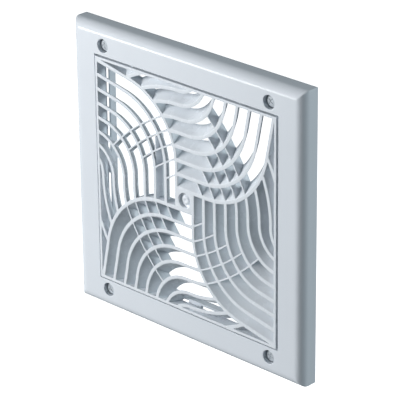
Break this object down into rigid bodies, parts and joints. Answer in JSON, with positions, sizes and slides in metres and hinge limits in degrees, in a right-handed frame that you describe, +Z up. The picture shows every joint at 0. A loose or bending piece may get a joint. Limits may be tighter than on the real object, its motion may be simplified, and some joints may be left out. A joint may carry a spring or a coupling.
{
  "type": "wall ventilation grille",
  "caption": "Square wall ventilation grille: a screwed bezel frame holding a pull-out panel of swirling louvre ribs.",
  "frame": {"origin": "centre of the grille on the wall plane, where the bezel's rear rim touches the wall", "axes": "+Z up along the wall, +X to the right as seen from the room, -Y out of the wall into the room"},
  "size_m": [0.18, 0.0242, 0.18],
  "materials": {
    "bezel_plastic": "semi-gloss moulded",
    "panel_plastic": "semi-gloss moulded",
    "screw_steel": "white zinc"
  },
  "bodies": {
    "frame": {"bezel_frame": "bezel_plastic", "fixing_screw_top_left": "screw_steel", "fixing_screw_top_right": "screw_steel", "fixing_screw_bottom_left": "screw_steel", "fixing_screw_bottom_right": "screw_steel"},
    "panel": {"grille_panel": "panel_plastic"}
  },
  "joints": [
    {"name": "panel_pull", "type": "slide", "parent": "frame", "child": "panel", "axis": [0, -1, 0], "range_m": [0, 0.02]}
  ]
}
